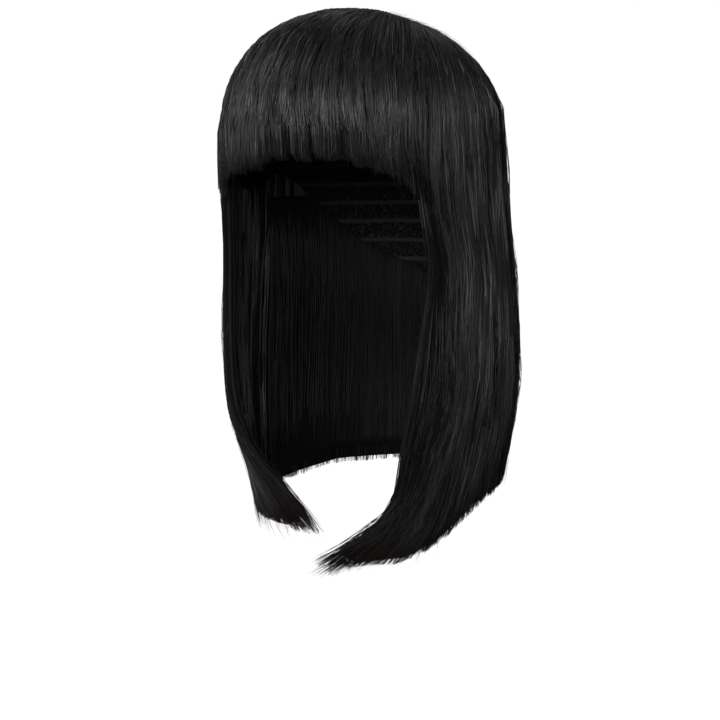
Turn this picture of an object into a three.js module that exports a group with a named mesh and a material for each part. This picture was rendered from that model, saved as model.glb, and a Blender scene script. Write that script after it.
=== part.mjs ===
// A straight bob wig with a full fringe: a net cap, and falls of hair that all start from the crown.
// Millimetres, +Z up. The origin is where the inside of the cap rests on the top of the head.
// The face looks along -Y, and +X is the wearer's left.
import * as THREE from "three";
import { mergeVertices } from "three/addons/utils/BufferGeometryUtils.js";

// The head that the cap fits
const HEAD_WIDTH = 152;
const HEAD_LENGTH = 190;
const BROW_DROP = 73; // from the top of the head down to its widest level
const TOP_LEAD = 19; // the top lies this far in front of the middle of the widest level
const DOME_POWER = 2.2; // 2 is an ellipse, and more is squarer
const DOME_PASSES = 14; // enough to find the ring of the dome that a point lies on

// The cap
const CAP_WALL = 1.6;
const CAP_SEAT = 0.8; // between the cap and the hair on it
const NAPE_DROP = 158;
const NAPE_SHARE = 0.84; // of the head's reach, at the nape
const CAP_ROWS = 11;
const CAP_COLUMNS = 36;
const CAP_ROW_POWER = 1.8; // over 1, so that the rows lie closer at the top, where the dome is flat

// The cap's edge, in degrees round from the face, with its drop as a share of NAPE_DROP
const CAP_EDGE = [
  { angle: 0, drop: 0.28 },
  { angle: 45, drop: 0.36 },
  { angle: 72, drop: 0.66 },
  { angle: 84, drop: 0.66 },
  { angle: 104, drop: 0.58 },
  { angle: 145, drop: 0.9 },
  { angle: 180, drop: 1.0 },
];

// The hair, measured over the cap's outside
const HAIR_SIDE_WALL = 7.6;
const HAIR_END_WALL = 8.6; // at the forehead and at the back
const HAIR_TOP_WALL = 9.6;
const HAIR_DROP = 338; // from the top of the head to the longest tips
const FRINGE_DROP = 112; // to the fringe's corners
const PIECE_GAP = 0.5; // between one fall of hair and the next
const CROWN_BACK = 46; // from the middle of the widest level back to the point that the hair starts from
const CROWN_RADIUS = 9;
const CROWN_DIP = 1.6;
const CROWN_SIDES = 24;

// The locks
const LOCK_WIDTH = 13;
const RIDGE_DEPTH = 1.6;
const TIP_NOTCH = 6;
const FRINGE_NOTCH = 2.6;
const TIP_SHARE = 0.4; // of the wall, at the tips
const TIP_SINK = 0.25; // how far into the wall the outside of the tips turns
const LOCK_RECESS = 2.2; // of the front locks, below the hair beside them
const LOCK_WANDER = 0.2; // of a lock's width, by which its edges stray
const STRAND_PLACES = [0, 0.3, 0.66]; // across a lock, of the three strands that are modelled
const RIDGE = [1, 0, 0.25]; // how far down each of them lies, as a share of RIDGE_DEPTH
const RELIEF_START = 0.4; // of the way to the brow, where the locks reach their full relief
const TAPER_START = 0.72; // of a strand's rows, where it starts to thin towards its tip
const DOME_ROWS = 9;
const FALL_ROWS = 13;
const FRINGE_ROWS = 13;
const NAPE_ROWS = 10;

// Where each fall starts at the brow, in degrees round from the face
const FRINGE_END = 58;
const LOCK_END = 64;
const SIDE_END = 118;
const EASE_REACH = 0.04; // of the way from the brow to the longest tips, over which sections blend
const NAPE_START = 98;

// The under layer at the nape
const UNDER_WALL = 6.5;
const UNDER_START = 0.14; // of the way from the brow to the longest tips
const UNDER_LIFT = 0.03; // its tips stop this much higher, as a share of the same way

// Sections of the falls. level is the share of the way from the brow to the longest tips, each reach
// is a share of the reach at the brow, and under is a share of UNDER_WALL.
const REACHES = [
  { level: 0.0, left: 1.0, leftFront: 1.0, right: 1.0, rightFront: 1.0, back: 1.0, under: 0.0 },
  { level: 0.13, left: 1.02, leftFront: 0.93, right: 1.02, rightFront: 0.93, back: 1.03, under: 0.1 },
  { level: 0.18, left: 1.03, leftFront: 0.9, right: 1.025, rightFront: 0.9, back: 1.045, under: 0.4 },
  { level: 0.25, left: 1.055, leftFront: 0.875, right: 1.03, rightFront: 0.87, back: 1.06, under: 0.8 },
  { level: 0.49, left: 1.115, leftFront: 0.86, right: 1.05, rightFront: 0.83, back: 1.1, under: 1.0 },
  { level: 0.62, left: 1.1, leftFront: 0.86, right: 1.035, rightFront: 0.8, back: 1.075, under: 1.0 },
  { level: 0.7, left: 1.07, leftFront: 0.85, right: 0.985, rightFront: 0.72, back: 1.035, under: 0.9 },
  { level: 0.79, left: 1.02, leftFront: 0.81, right: 0.895, rightFront: 0.59, back: 0.96, under: 0.8 },
  { level: 0.87, left: 0.99, leftFront: 0.78, right: 0.85, rightFront: 0.54, back: 0.92, under: 0.7 },
  { level: 0.94, left: 0.955, leftFront: 0.77, right: 0.84, rightFront: 0.53, back: 0.9, under: 0.6 },
  { level: 1.0, left: 0.92, leftFront: 0.76, right: 0.83, rightFront: 0.52, back: 0.88, under: 0.5 },
];

// The front edges of the front locks and of the side hair, in degrees round from the face
const EDGES = [
  { level: 0.0, leftLock: 58, leftEdge: 64, rightLock: 58, rightEdge: 64 },
  { level: 0.13, leftLock: 58, leftEdge: 64, rightLock: 58, rightEdge: 64 },
  { level: 0.18, leftLock: 58, leftEdge: 64, rightLock: 58, rightEdge: 64 },
  { level: 0.25, leftLock: 60.5, leftEdge: 66.5, rightLock: 59, rightEdge: 65.5 },
  { level: 0.49, leftLock: 50.5, leftEdge: 61.5, rightLock: 53, rightEdge: 62 },
  { level: 0.62, leftLock: 48, leftEdge: 59, rightLock: 50, rightEdge: 60 },
  { level: 0.7, leftLock: 46, leftEdge: 56, rightLock: 45, rightEdge: 55 },
  { level: 0.79, leftLock: 45, leftEdge: 52, rightLock: 34, rightEdge: 46 },
  { level: 0.87, leftLock: 41, leftEdge: 48, rightLock: 16, rightEdge: 32 },
  { level: 0.94, leftLock: 28, leftEdge: 41, rightLock: 4, rightEdge: 20 },
  { level: 1.0, leftLock: 8, leftEdge: 30, rightLock: 0, rightEdge: 12 },
];

// The level where the side and back hair ends. at runs from its front edge, 0, to the back seam, 1.
const HEM = [
  { at: 0.0, left: 0.985, right: 0.905 },
  { at: 0.08, left: 0.976, right: 0.9 },
  { at: 0.15, left: 0.942, right: 0.886 },
  { at: 0.23, left: 0.882, right: 0.872 },
  { at: 0.3, left: 0.85, right: 0.856 },
  { at: 0.4, left: 0.826, right: 0.832 },
  { at: 0.6, left: 0.8, right: 0.802 },
  { at: 1.0, left: 0.789, right: 0.789 },
];

// The level where a front lock ends, from its face side, 0, to its groove, 1
const LOCK_HEM = [
  { at: 0.0, left: 0.965, right: 0.9 },
  { at: 0.5, left: 1.0, right: 0.915 },
  { at: 1.0, left: 0.985, right: 0.905 },
];

// The fringe's lower edge, as shares of FRINGE_DROP, in degrees round from the face to the wearer's left
const FRINGE_HEM = [
  { angle: -58, drop: 0.985 },
  { angle: -40, drop: 0.81 },
  { angle: -20, drop: 0.755 },
  { angle: 0, drop: 0.69 },
  { angle: 20, drop: 0.7 },
  { angle: 40, drop: 0.77 },
  { angle: 50, drop: 0.835 },
  { angle: 58, drop: 0.965 },
];

// The surfaces that everything lies on, each by its reach at the brow and its top
const HEAD = { side: HEAD_WIDTH / 2, end: HEAD_LENGTH / 2, top: 0 };
const CAP = swell(HEAD, CAP_WALL, CAP_WALL, CAP_WALL);
const UNDERSIDE = swell(CAP, CAP_SEAT, CAP_SEAT, CAP_SEAT);
const OUTSIDE = swell(CAP, HAIR_SIDE_WALL, HAIR_END_WALL, HAIR_TOP_WALL);
const FALL = HAIR_DROP - BROW_DROP;

const HAIR = new THREE.MeshStandardMaterial({ color: 0x0a0a0b, roughness: 0.34, metalness: 0 });
const LOCK_HAIR = new THREE.MeshStandardMaterial({ color: 0x14100e, roughness: 0.36, metalness: 0 });
const NET = new THREE.MeshStandardMaterial({ color: 0x141414, roughness: 0.9, metalness: 0 });

function swell(surface, side, end, top) {
  return { side: surface.side + side, end: surface.end + end, top: surface.top + top };
}

// One column of a table at a given key, on a straight line between its rows
function lookUp(table, key, column, at) {
  const next = table.findIndex((row) => row[key] > at);
  if (next === 0) return table[0][column];
  if (next === -1) return table[table.length - 1][column];
  const low = table[next - 1];
  const high = table[next];
  return THREE.MathUtils.mapLinear(at, low[key], high[key], low[column], high[column]);
}

// A column of a table of levels, eased through its rows so that a fall has no creases across it
function easedLookUp(table, column, level) {
  const samples = steps(level - EASE_REACH, level + EASE_REACH, 4).map((near) =>
    lookUp(table, "level", column, near),
  );
  return samples.reduce((sum, value) => sum + value, 0) / samples.length;
}

// The height of a domed surface above the plan point (x, y), which is taken from the middle of the
// widest level. Higher rings of the dome lie further forward.
function domeHeight(surface, x, y) {
  let ring = 1;
  for (let pass = 0; pass < DOME_PASSES; pass++) {
    const middle = -TOP_LEAD * (1 - ring ** 2);
    ring = Math.min(1, Math.hypot(x / surface.side, (y - middle) / surface.end));
  }
  const rise = (1 - ring ** DOME_POWER) ** (1 / DOME_POWER);
  return -BROW_DROP + (surface.top + BROW_DROP) * rise;
}

// A point that is given from the middle of the widest level, in the part's own frame
function place(x, y, z) {
  return new THREE.Vector3(x, y + TOP_LEAD, z);
}

// The angle round from the face of the strand that starts at an angle, once it has fallen to a level
function sweptAngle(start, level, hand) {
  const edge = easedLookUp(EDGES, `${hand}Edge`, level);
  const lock = easedLookUp(EDGES, `${hand}Lock`, level);
  if (start <= FRINGE_END) return start + (lock - FRINGE_END) * (start / FRINGE_END) ** 3;
  if (start <= LOCK_END) return THREE.MathUtils.mapLinear(start, FRINGE_END, LOCK_END, lock, edge);
  const behind = (start - LOCK_END) / (180 - LOCK_END);
  return start + (edge - LOCK_END) * (1 - behind) ** 2;
}

// A point on a surface of the hair, on the strand that starts at an angle. way runs from 0 at the
// crown to 1 at the brow, and on to 2 at the level of the longest tips.
function onStrand(surface, angle, way) {
  const turned = angle > 180 ? angle - 360 : angle;
  const sign = turned < 0 ? -1 : 1;
  const hand = turned < 0 ? "right" : "left";
  const level = Math.max(way - 1, 0);
  const swept = THREE.MathUtils.degToRad(sweptAngle(Math.abs(turned), level, hand));
  const end = Math.cos(swept) > 0 ? `${hand}Front` : "back";
  const x = sign * surface.side * easedLookUp(REACHES, hand, level) * Math.sin(swept);
  const y = -surface.end * easedLookUp(REACHES, end, level) * Math.cos(swept);
  if (way >= 1) return place(x, y, -BROW_DROP - level * FALL);
  const length = Math.hypot(x, y - CROWN_BACK);
  const share = 1 - (1 - CROWN_RADIUS / length) * (1 - way) ** 2;
  return onCrown(surface, x * share, CROWN_BACK + (y - CROWN_BACK) * share);
}

// A point of the dome, with the dip where the hair starts on its outside
function onCrown(surface, x, y) {
  const away = Math.hypot(x, y - CROWN_BACK) / CROWN_RADIUS;
  const dip = surface === OUTSIDE ? CROWN_DIP * Math.exp(-away / 2) : 0;
  return place(x, y, domeHeight(surface, x, y) - dip);
}

// A point in the wall of hair: share runs from 0 on its outside to 1 on its underside, and depth
// goes that many millimetres further in.
function inWall(angle, way, share, depth = 0) {
  const outer = onStrand(OUTSIDE, angle, way);
  const inner = onStrand(UNDERSIDE, angle, way);
  return outer.lerp(inner, share + depth / outer.distanceTo(inner));
}

// The level direction along a section, towards greater angles
function alongSection(angle, way) {
  const ahead = onStrand(OUTSIDE, angle + 0.4, way);
  const behind = onStrand(OUTSIDE, angle - 0.4, way);
  return ahead.sub(behind).setZ(0).normalize();
}

function steps(from, to, count) {
  return Array.from({ length: count + 1 }, (_, i) => from + ((to - from) * i) / count);
}

// The triangles between two rows of points. The finer row has stride times as many gaps.
function zip(fine, coarse, stride) {
  const triangles = [];
  const middle = Math.ceil(stride / 3);
  for (let k = 0; k < coarse.length - 1; k++) {
    const near = fine.slice(k * stride, (k + 1) * stride + 1);
    for (let j = 0; j < middle; j++) triangles.push([near[j], near[j + 1], coarse[k]]);
    triangles.push([near[middle], coarse[k + 1], coarse[k]]);
    for (let j = middle; j < stride; j++) triangles.push([near[j], near[j + 1], coarse[k + 1]]);
  }
  return triangles;
}

// The triangles of a grid of points whose rows run down and whose columns run to greater angles
function cover(grid) {
  const triangles = [];
  for (let row = 0; row < grid.length - 1; row++) {
    for (let column = 0; column < grid[row].length - 1; column++) {
      const [a, b] = [grid[row][column], grid[row][column + 1]];
      const [d, c] = [grid[row + 1][column], grid[row + 1][column + 1]];
      triangles.push([a, d, c], [a, c, b]);
    }
  }
  return triangles;
}

function flip(triangles) {
  return triangles.map(([a, b, c]) => [a, c, b]);
}

// A closed shell between an outer and an inner grid. Open ones have sides, and round ones have none.
function shell(name, outer, inner, stride, round, material) {
  const last = outer.length - 1;
  const triangles = [...cover(outer), ...flip(cover(inner))];
  triangles.push(...zip(outer[0], inner[0], stride));
  triangles.push(...flip(zip(outer[last], inner[last], stride)));
  if (!round) {
    const side = (grid, pick) => grid.map((row) => row.at(pick));
    triangles.push(...flip(zip(side(outer, 0), side(inner, 0), 1)));
    triangles.push(...zip(side(outer, -1), side(inner, -1), 1));
  }
  return solid(name, triangles, material);
}

// A mesh of triangles whose corners are merged where they meet
function solid(name, triangles, material) {
  const corners = new Float32Array(triangles.flat().flatMap((point) => point.toArray()));
  const loose = new THREE.BufferGeometry();
  loose.setAttribute("position", new THREE.BufferAttribute(corners, 3));
  const geometry = mergeVertices(loose, 1e-3);
  const kept = [];
  for (let i = 0; i < geometry.index.count; i += 3) {
    const [a, b, c] = [0, 1, 2].map((corner) => geometry.index.getX(i + corner));
    if (a !== b && b !== c && c !== a) kept.push(a, b, c);
  }
  geometry.setIndex(kept);
  geometry.computeVertexNormals();
  const mesh = new THREE.Mesh(geometry, material);
  mesh.name = name;
  return mesh;
}

// The head's reach below its widest level, as a share of it
function napeShare(drop) {
  const below = Math.max(0, drop - BROW_DROP) / (NAPE_DROP - BROW_DROP);
  return 1 - (1 - NAPE_SHARE) * below ** 2;
}

// A row of points around a surface of the cap, at a share of the way from its top to its edge
function capRing(surface, share) {
  const middleRise = surface.top + BROW_DROP;
  return steps(0, 360, CAP_COLUMNS).map((angle) => {
    const edge = NAPE_DROP * lookUp(CAP_EDGE, "angle", "drop", Math.min(angle, 360 - angle));
    const z = surface.top - (surface.top + edge) * share ** CAP_ROW_POWER;
    const rise = Math.max(0, z + BROW_DROP) / middleRise;
    const ring = (1 - rise ** DOME_POWER) ** (1 / DOME_POWER) * napeShare(-z);
    const turn = THREE.MathUtils.degToRad(angle);
    const middle = -TOP_LEAD * (1 - Math.min(1, ring) ** 2) * (z > -BROW_DROP ? 1 : 0);
    return place(ring * surface.side * Math.sin(turn), middle - ring * surface.end * Math.cos(turn), z);
  });
}

function makeCap() {
  const shares = steps(0, 1, CAP_ROWS);
  const outer = shares.map((share) => capRing(CAP, share));
  const inner = shares.map((share) => capRing(HEAD, share));
  return shell("wig_cap", outer, inner, 1, true, NET);
}

// The angles of the strands that are modelled, three to a lock, with the locks of uneven width
function strandAngles(from, to) {
  const reach = (HEAD_WIDTH + HEAD_LENGTH) / 4 + HAIR_SIDE_WALL;
  const locks = Math.max(2, Math.round((THREE.MathUtils.degToRad(to - from) * reach) / LOCK_WIDTH));
  const edges = steps(0, locks, locks).map((i) => {
    const wander = i === 0 || i === locks ? 0 : LOCK_WANDER * Math.sin(2.1 * i);
    return from + ((to - from) * (i + wander)) / locks;
  });
  return edges.flatMap((edge, i) =>
    i === locks ? [edge] : STRAND_PLACES.map((part) => edge + (edges[i + 1] - edge) * part),
  );
}

// A fall of hair. end gives the way where the strand at an angle stops, rows the ways down to it.
function makeFall({ name, from, to, end, rows, notch, recess = 0, under, material = HAIR }) {
  const angles = strandAngles(from, to);
  const gridOf = (picked, point) => {
    const columns = picked.map((column) => {
      const angle = angles[column];
      const valley = column % 3 === 0;
      const tip = end(angle) + ((valley ? -0.5 : 0.3) * notch) / FALL;
      const ways = rows(tip);
      const push = column === 0 ? 1 : column === angles.length - 1 ? -1 : 0;
      return ways.map((way, row) => {
        const taper = THREE.MathUtils.smoothstep(row / (ways.length - 1), TAPER_START, 1);
        const shift = alongSection(angle, way).multiplyScalar((push * PIECE_GAP) / 2);
        return point(column, angle, way, taper).add(shift);
      });
    });
    return columns[0].map((_, row) => columns.map((column) => column[row]));
  };
  const outside = (column, angle, way, taper) => {
    const fade = THREE.MathUtils.smoothstep(way, 0, RELIEF_START);
    const depth = (RIDGE_DEPTH * RIDGE[column % 3] + recess) * fade;
    if (under) return inWall(angle, way, 1, depth + PIECE_GAP);
    return inWall(angle, way, TIP_SINK * taper, depth);
  };
  const underside = (column, angle, way, taper) => {
    if (under) return inWall(angle, way, 1, PIECE_GAP + RIDGE_DEPTH + under(way) * (1 - TIP_SINK * taper));
    return inWall(angle, way, 1 - (1 - TIP_SINK - TIP_SHARE) * taper);
  };
  const all = angles.map((_, column) => column);
  const edges = all.filter((column) => column % 3 === 0);
  return shell(name, gridOf(all, outside), gridOf(edges, underside), 3, false, material);
}

function overCrown(tip) {
  return [...steps(0, 1, DOME_ROWS).slice(0, -1), ...steps(1, tip, FALL_ROWS)];
}

function sideEnd(angle) {
  const turned = angle > 180 ? 360 - angle : Math.abs(angle);
  const hand = angle > 180 || angle < 0 ? "right" : "left";
  return 1 + lookUp(HEM, "at", hand, (turned - LOCK_END) / (180 - LOCK_END));
}

function lockEnd(angle) {
  const hand = angle < 0 ? "right" : "left";
  return 1 + lookUp(LOCK_HEM, "at", hand, (Math.abs(angle) - FRINGE_END) / (LOCK_END - FRINGE_END));
}

function fringeEnd(angle) {
  return 1 + (FRINGE_DROP * lookUp(FRINGE_HEM, "angle", "drop", angle) - BROW_DROP) / FALL;
}

function underWall(way) {
  return UNDER_WALL * lookUp(REACHES, "level", "under", way - 1);
}

// The small swirl that the hair starts from
function makeCrown() {
  const ringAt = (surface, share) =>
    steps(0, 360, CROWN_SIDES).map((angle) => {
      const turn = THREE.MathUtils.degToRad(angle);
      const reach = (CROWN_RADIUS - PIECE_GAP) * share;
      return onCrown(surface, reach * Math.sin(turn), CROWN_BACK - reach * Math.cos(turn));
    });
  const shares = [0, 0.5, 1];
  const outer = shares.map((share) => ringAt(OUTSIDE, share));
  const inner = shares.map((share) => ringAt(UNDERSIDE, share));
  return shell("crown_whorl", outer, inner, 1, true, HAIR);
}

const HANDS = [
  { hand: "left", sign: 1 },
  { hand: "right", sign: -1 },
];

const wig = new THREE.Group();
wig.add(makeCap(), makeCrown());
wig.add(
  makeFall({
    name: "fringe",
    from: -FRINGE_END,
    to: FRINGE_END,
    end: fringeEnd,
    rows: (tip) => steps(0, tip, FRINGE_ROWS),
    notch: FRINGE_NOTCH,
  }),
);
for (const { hand, sign } of HANDS) {
  const [from, to] = [sign * FRINGE_END, sign * LOCK_END].sort((a, b) => a - b);
  wig.add(
    makeFall({
      name: `${hand}_front_lock`,
      from,
      to,
      end: lockEnd,
      rows: overCrown,
      notch: 0,
      recess: LOCK_RECESS,
      material: LOCK_HAIR,
    }),
  );
}
for (const { hand, sign } of HANDS) {
  const [from, to] = [sign * LOCK_END, sign * SIDE_END].sort((a, b) => a - b);
  wig.add(
    makeFall({ name: `${hand}_side_hair`, from, to, end: sideEnd, rows: overCrown, notch: TIP_NOTCH }),
  );
}
wig.add(
  makeFall({
    name: "back_hair",
    from: SIDE_END,
    to: 360 - SIDE_END,
    end: sideEnd,
    rows: overCrown,
    notch: TIP_NOTCH,
  }),
  makeFall({
    name: "nape_hair",
    from: NAPE_START,
    to: 360 - NAPE_START,
    end: (angle) => sideEnd(angle) - UNDER_LIFT,
    rows: (tip) => steps(1 + UNDER_START, tip, NAPE_ROWS),
    notch: TIP_NOTCH,
    under: underWall,
  }),
);

export default wig;
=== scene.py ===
"""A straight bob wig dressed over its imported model: the net cap, shells of hair and the strands on them."""

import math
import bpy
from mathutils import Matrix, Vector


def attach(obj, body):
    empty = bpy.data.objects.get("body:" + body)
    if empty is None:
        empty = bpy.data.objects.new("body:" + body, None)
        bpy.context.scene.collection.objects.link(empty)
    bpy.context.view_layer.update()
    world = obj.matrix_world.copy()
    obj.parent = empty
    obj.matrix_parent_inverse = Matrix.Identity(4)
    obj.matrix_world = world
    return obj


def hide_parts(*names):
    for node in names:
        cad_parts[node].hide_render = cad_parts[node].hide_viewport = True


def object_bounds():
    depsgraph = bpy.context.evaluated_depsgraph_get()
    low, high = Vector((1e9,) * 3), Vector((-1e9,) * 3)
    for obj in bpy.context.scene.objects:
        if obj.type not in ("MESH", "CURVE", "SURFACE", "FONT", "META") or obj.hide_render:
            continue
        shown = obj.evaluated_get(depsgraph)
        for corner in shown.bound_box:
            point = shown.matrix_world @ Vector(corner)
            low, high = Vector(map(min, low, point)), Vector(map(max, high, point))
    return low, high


bl_info = {
    "name": "Bob wig",
    "version": (1, 0, 0),
    "blender": (4, 5, 0),
    "location": "3D View > Sidebar > Bob wig",
    "description": "Dresses the packed bob wig with strands, a net cap and a plain stage",
    "category": "Object",
}

import bpy
import numpy as np
from bpy.props import FloatProperty, FloatVectorProperty, IntProperty, PointerProperty
from mathutils import Vector

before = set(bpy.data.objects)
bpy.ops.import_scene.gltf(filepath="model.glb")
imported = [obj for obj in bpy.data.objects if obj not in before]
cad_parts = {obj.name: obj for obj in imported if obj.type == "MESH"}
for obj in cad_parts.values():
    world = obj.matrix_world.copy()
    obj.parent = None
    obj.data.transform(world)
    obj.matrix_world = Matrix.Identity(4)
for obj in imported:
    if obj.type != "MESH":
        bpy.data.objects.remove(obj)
CAD_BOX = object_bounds()

# One millimetre of the wig, by the height of its frame
FRAME_HEIGHT_MM = 348.4
MM = (CAD_BOX[1].z - CAD_BOX[0].z) / FRAME_HEIGHT_MM

# The form of the hair, which repeats that of the frame
BROW_DROP = 73 * MM
HAIR_DROP = 338 * MM
FALL = HAIR_DROP - BROW_DROP
TOP_LEAD = 19 * MM
DOME_POWER = 2.2
DOME_PASSES = 14
CROWN_BACK = 46 * MM
CROWN_RADIUS = 9 * MM
CROWN_DIP = 1.6 * MM
UNDERSIDE = {"side": 78.4 * MM, "end": 97.4 * MM, "top": 2.4 * MM, "dip": 0.0}
OUTSIDE = {"side": 85.2 * MM, "end": 105.2 * MM, "top": 11.2 * MM, "dip": CROWN_DIP}

# The hands, with the sign of the angles on each side of the front
HANDS = {"left": 1, "right": -1}

# Where each fall starts at the brow, in degrees round from the front
FRINGE_END = 58
LOCK_END = 64
SIDE_END = 118
NAPE_START = 98

# The nape layer starts below the brow and ends above the hair over it, by these shares of the fall
UNDER_START = 0.14
NAPE_RISE = 0.03

# The tables of levels are eased by this much of the fall on both sides of a level
EASE_REACH = 0.04

# Sections of the falls: the level is the share of the way from the brow to the longest tips, and
# each reach is a share of the reach at the brow.
REACHES = {
    "level": (0.0, 0.13, 0.18, 0.25, 0.49, 0.62, 0.7, 0.79, 0.87, 0.94, 1.0),
    "left": (1.0, 1.02, 1.03, 1.055, 1.115, 1.1, 1.07, 1.02, 0.99, 0.955, 0.92),
    "leftFront": (1.0, 0.93, 0.9, 0.875, 0.86, 0.86, 0.85, 0.81, 0.78, 0.77, 0.76),
    "right": (1.0, 1.02, 1.025, 1.03, 1.05, 1.035, 0.985, 0.895, 0.85, 0.84, 0.83),
    "rightFront": (1.0, 0.93, 0.9, 0.87, 0.83, 0.8, 0.72, 0.59, 0.54, 0.53, 0.52),
    "back": (1.0, 1.03, 1.045, 1.06, 1.1, 1.075, 1.035, 0.96, 0.92, 0.9, 0.88),
}

# The front edges of the front locks and of the side hair, in degrees round from the front
EDGES = {
    "level": (0.0, 0.13, 0.18, 0.25, 0.49, 0.62, 0.7, 0.79, 0.87, 0.94, 1.0),
    "leftLock": (58, 58, 58, 60.5, 50.5, 48, 46, 45, 41, 28, 8),
    "leftEdge": (64, 64, 64, 66.5, 61.5, 59, 56, 52, 48, 41, 30),
    "rightLock": (58, 58, 58, 59, 53, 50, 45, 34, 16, 4, 0),
    "rightEdge": (64, 64, 64, 65.5, 62, 60, 55, 46, 32, 20, 12),
}

# The level where the side and back hair ends, from its front edge, 0, to the back seam, 1
HEM = {
    "at": (0.0, 0.08, 0.15, 0.23, 0.3, 0.4, 0.6, 1.0),
    "left": (0.985, 0.976, 0.942, 0.882, 0.85, 0.826, 0.8, 0.789),
    "right": (0.905, 0.9, 0.886, 0.872, 0.856, 0.832, 0.802, 0.789),
}

# The level where a front lock ends, from its front side, 0, to its groove, 1
LOCK_HEM = {
    "at": (0.0, 0.5, 1.0),
    "left": (0.965, 1.0, 0.985),
    "right": (0.9, 0.915, 0.905),
}

# The fringe's lower edge, by the angle round from the front towards the wearer's left
FRINGE_HEM = {
    "angle": (-58, -40, -20, 0, 20, 40, 50, 58),
    "drop": (110.3, 90.7, 84.6, 77.3, 78.4, 86.2, 93.5, 108.1),
}

# The extra turn of the tips beside the opening, the levels where it starts and is full, and how far
# round it reaches, with its angles in degrees
FRONT_SWEEP = {"left": 11, "right": 8}
SWEEP_LEVELS = {"left": (0.88, 1.0), "right": (0.62, 0.86)}
FRONT_REACH = 22

# The loose wisps beside the opening: how far round they grow, in degrees, the way where they start,
# and how far below the hem they end, as shares of the fall
WISP_REACH = {"left": 78, "right": 100}
WISP_START = 1.3
WISP_DROP = {"left": 0.012, "right": 0.035}

# How far each shell of hair stops above its hem, in millimetres, so that strands alone make the hem
TRIM = {"fringe": 2.5, "lock": 9, "side": 2.5, "back": 2.5, "nape": 3}

# Where a shell's two faces lie in the wall of hair, from 0 on its outside to 1 on its underside
SHELL_SHARES = (0.24, 0.86)
LOCK_SHARES = (0.3, 0.86)

# The grid of a shell: its rows, its columns for each degree, and the fewest columns
SHELL_ROWS = 26
SHELL_COLUMNS = 0.9
FEWEST_COLUMNS = 6

# Three rows of clumps follow each other down the hair: the size of each against the kind's own, and
# the shares of a strand where it starts, is full, begins to part and is gone.
CLUMP_SIZES = (1.3, 0.8, 1.0)
CLUMP_STRETCHES = ((0.02, 0.2, 0.4, 0.6), (0.35, 0.55, 0.65, 0.9), (0.7, 1.5, 3.0, 4.0))

# The sides of each strand's tube
TUBE_SIDES = 3

# The share of a strand's way, from the crown to the brow, at each of its rings over the dome
DOME_WAYS = (0.0, 0.09, 0.2, 0.33, 0.48, 0.64, 0.82)
# The same for the fringe, from the crown to the hem, closer together where it bends over the brow
FRINGE_WAYS = (0.0, 0.1, 0.21, 0.34, 0.47, 0.59, 0.69, 0.77, 0.84, 0.895, 0.935, 0.97, 1.0)
# The way that the tips of every fall but the fringe have passed
PAST_FRINGE = 1.3

# The body inside the ring where the strands start: its grid, its radius, the share of it that is open
# in the middle, and how deep its two faces lie below the crown
CROWN_DISC = {
    "sides": 40,
    "rings": 8,
    "radius": CROWN_RADIUS * 1.05,
    "open": 0.04,
    "top": 1.4 * MM,
    "low": 4.5 * MM,
}
# The ridges on it, and how far they turn from its middle to the ring, in radians
CROWN_RIDGES = {"count": 13, "height": 0.12 * MM, "swirl": 0.8}

# The short hairs of the crown: those round the swirl, and those that lie over the top to the front.
# The turn is in radians, and the reach in radii of the swirl.
CROWN_HAIRS = {
    "round": 420,
    "over_top": 320,
    "rings": 7,
    "radius": 0.15 * MM,
    "shortest": 8 * MM,
    "longest": 26 * MM,
    "top_turn": 1.2,
    "top_reach": 5.2,
    "most_lift": 3.5,
}

# Meshes of the net and the scale of its sewn rows, for each metre
NET_MESHES = 420.0
NET_ROWS = 26.0

# The roughness of the darkest strands and of the lightest
ROUGHNESS = {"dark": 0.55, "light": 0.28}

# Each light's direction in degrees, and its distance and size in metres
LIGHTS = {
    "key": {"azimuth": 10, "elevation": 15, "distance": 2.2, "width": 1.8, "height": 0.7},
    "top": {"azimuth": -40, "elevation": 57, "distance": 2.2, "width": 1.0, "height": 0.6},
    "back": {"azimuth": -165, "elevation": 50, "distance": 2.2, "width": 1.0, "height": 0.5},
    "side": {"azimuth": 100, "elevation": 24, "distance": 2.2, "width": 0.5, "height": 0.5},
    "low": {"azimuth": -5, "elevation": 5, "distance": 2.2, "width": 1.2, "height": 0.7},
    "brow": {"azimuth": 10, "elevation": 4, "distance": 2.2, "width": 1.4, "height": 0.3},
    "under": {"azimuth": -75, "elevation": -20, "distance": 0.9, "width": 0.6, "height": 0.5},
}
LIT_POINT = Vector((0, 0, -0.12))

# The floor reaches this far, in metres, and glows by itself so that it stays white
FLOOR_REACH = 30.0
FLOOR_GLOW = 0.85

# The middle of the view: how far it lies to the camera's left of the wig's middle, and below its origin
VIEW_ASIDE = 1.9 * MM
VIEW_DROP = 210.3 * MM


# The form


def eased(table, column, level):
    """A column of a table of levels, eased through its rows as the frame's is."""
    steps = EASE_REACH * np.array((-1, -0.5, 0, 0.5, 1))
    near = [np.interp(level + step, table["level"], table[column]) for step in steps]
    return sum(near) / len(near)


def for_hand(is_right, table, left, right, level):
    """A column for the wearer's left or right, point by point."""
    return np.where(is_right, eased(table, right, level), eased(table, left, level))


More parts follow.
